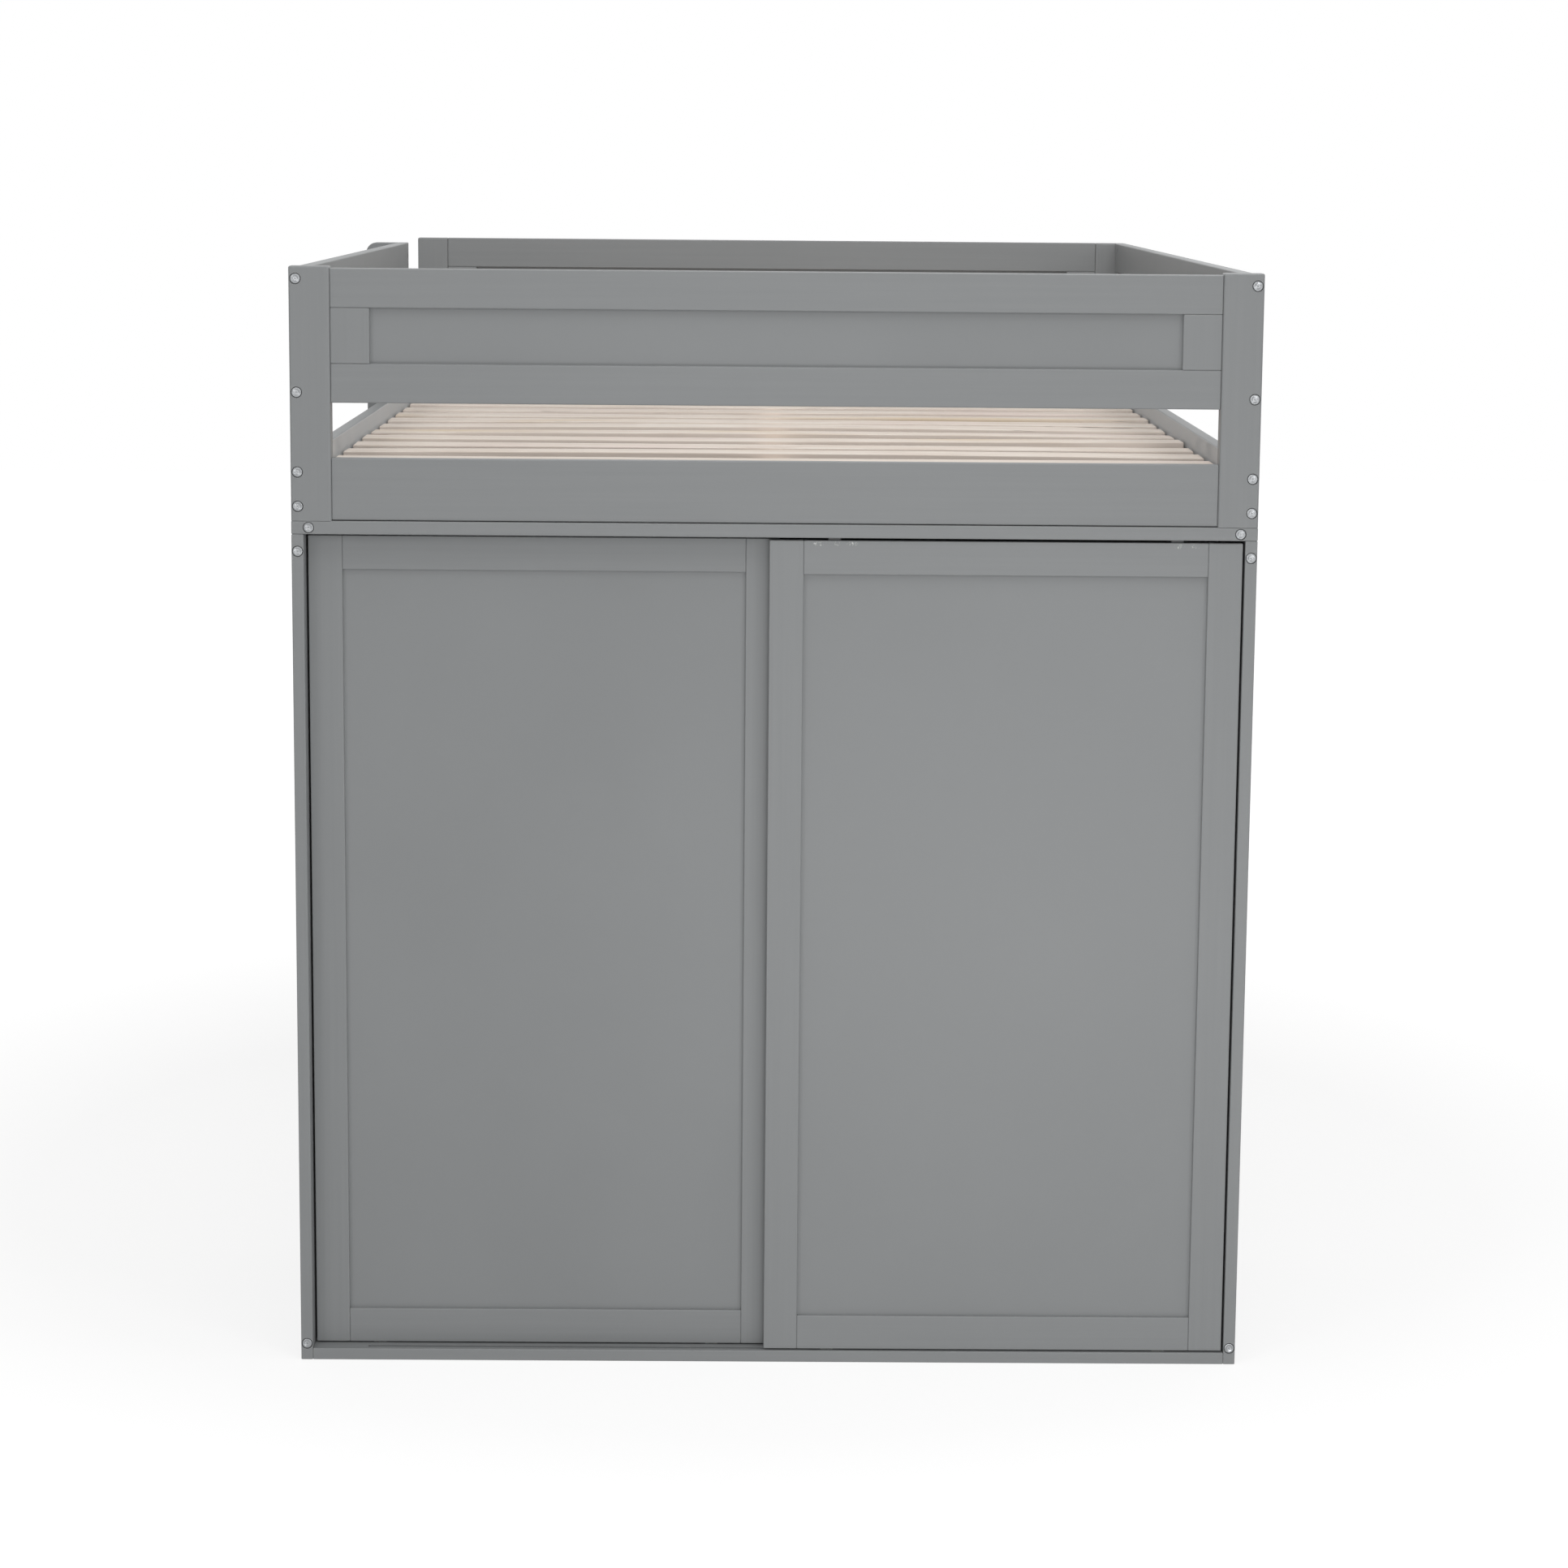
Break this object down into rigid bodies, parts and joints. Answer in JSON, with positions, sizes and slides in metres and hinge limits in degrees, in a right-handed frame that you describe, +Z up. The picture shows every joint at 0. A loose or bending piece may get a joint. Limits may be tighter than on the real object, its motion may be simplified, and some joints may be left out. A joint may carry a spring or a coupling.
{
  "type": "loft bed",
  "caption": "Loft bed raised on a wardrobe with bypass sliding doors, with panelled guards, a slatted deck, bolted posts and a fixed side ladder",
  "frame": {"origin": "middle of the floor area under the whole bed and its ladder, at floor level", "axes": "+X across the bed, to the right when facing the wardrobe doors; +Y from the doors along the bed to its far end; +Z up"},
  "size_m": [1.494, 1.981, 1.671],
  "materials": {
    "grey_paint": "satin grey paint",
    "bare_pine": "planed, unfinished",
    "zinc_steel": "zinc plated",
    "chrome": "bright",
    "nylon": "moulded, matt"
  },
  "bodies": {
    "bed_frame": {"barrel_nuts": "zinc_steel", "beam_hangers": "zinc_steel", "bed_slats": "bare_pine", "centre_beam": "bare_pine", "far_end_board": "grey_paint", "far_end_stretchers": "grey_paint", "far_guard_bottom_rail": "grey_paint", "far_guard_top_rail": "grey_paint", "far_left_post": "grey_paint", "far_right_post": "grey_paint", "frame_bolts": "zinc_steel", "guard_panels": "grey_paint", "guard_stiles": "grey_paint", "hanging_rail": "chrome", "hanging_rail_holders": "chrome", "ladder_far_upright": "grey_paint", "ladder_near_upright": "grey_paint", "ladder_treads": "grey_paint", "left_guard_bottom_rail": "grey_paint", "left_guard_top_rail": "grey_paint", "left_side_rail": "grey_paint", "near_end_board": "grey_paint", "near_guard_bottom_rail": "grey_paint", "near_guard_top_rail": "grey_paint", "near_left_post": "grey_paint", "near_right_post": "grey_paint", "post_pins": "zinc_steel", "right_guard_bottom_rail": "grey_paint", "right_guard_top_rail": "grey_paint", "right_side_rail": "grey_paint", "slat_ledgers": "grey_paint", "wardrobe_back": "grey_paint", "wardrobe_floor": "grey_paint", "wardrobe_left_panel": "grey_paint", "wardrobe_left_rails": "grey_paint", "wardrobe_left_stiles": "grey_paint", "wardrobe_right_panel": "grey_paint", "wardrobe_right_rails": "grey_paint", "wardrobe_right_stiles": "grey_paint", "wardrobe_top_cross_rails": "grey_paint", "wardrobe_top_front_rail": "grey_paint", "wardrobe_top_panels": "grey_paint", "wardrobe_top_rear_rail": "grey_paint"},
    "left_door": {"left_door_panel": "grey_paint", "left_door_rails": "grey_paint", "left_door_roller_axles": "zinc_steel", "left_door_roller_housings": "nylon", "left_door_stiles": "grey_paint", "left_door_top_guides": "nylon"},
    "right_door": {"right_door_panel": "grey_paint", "right_door_rails": "grey_paint", "right_door_roller_axles": "zinc_steel", "right_door_roller_housings": "nylon", "right_door_stiles": "grey_paint", "right_door_top_guides": "nylon"},
    "left_door_left_roller": {"left_door_left_roller": "nylon"},
    "left_door_right_roller": {"left_door_right_roller": "nylon"},
    "right_door_left_roller": {"right_door_left_roller": "nylon"},
    "right_door_right_roller": {"right_door_right_roller": "nylon"}
  },
  "joints": [
    {"name": "left_door_slide", "type": "slide", "parent": "bed_frame", "child": "left_door", "axis": [-1, 0, 0], "range_m": [-0.689, 0]},
    {"name": "right_door_slide", "type": "slide", "parent": "bed_frame", "child": "right_door", "axis": [-1, 0, 0], "range_m": [0, 0.689]},
    {"name": "left_door_left_roller_spin", "type": "hinge", "parent": "left_door", "child": "left_door_left_roller", "pos_m": [-0.571, -0.9545, 0.0233], "axis": [0, -1, 0], "range_deg": [-3600, 0]},
    {"name": "left_door_right_roller_spin", "type": "hinge", "parent": "left_door", "child": "left_door_right_roller", "pos_m": [-0.06, -0.9545, 0.0233], "axis": [0, -1, 0], "range_deg": [-3600, 0]},
    {"name": "right_door_left_roller_spin", "type": "hinge", "parent": "right_door", "child": "right_door_left_roller", "pos_m": [0.118, -0.9775, 0.0233], "axis": [0, -1, 0], "range_deg": [0, 3600]},
    {"name": "right_door_right_roller_spin", "type": "hinge", "parent": "right_door", "child": "right_door_right_roller", "pos_m": [0.629, -0.9775, 0.0233], "axis": [0, -1, 0], "range_deg": [0, 3600]}
  ],
  "couplings": [
    {"joint": "left_door_left_roller_spin", "follows": "left_door_slide", "rad_per_m": 90.909},
    {"joint": "left_door_right_roller_spin", "follows": "left_door_slide", "rad_per_m": 90.909},
    {"joint": "right_door_left_roller_spin", "follows": "right_door_slide", "rad_per_m": 90.909},
    {"joint": "right_door_right_roller_spin", "follows": "right_door_slide", "rad_per_m": 90.909}
  ]
}
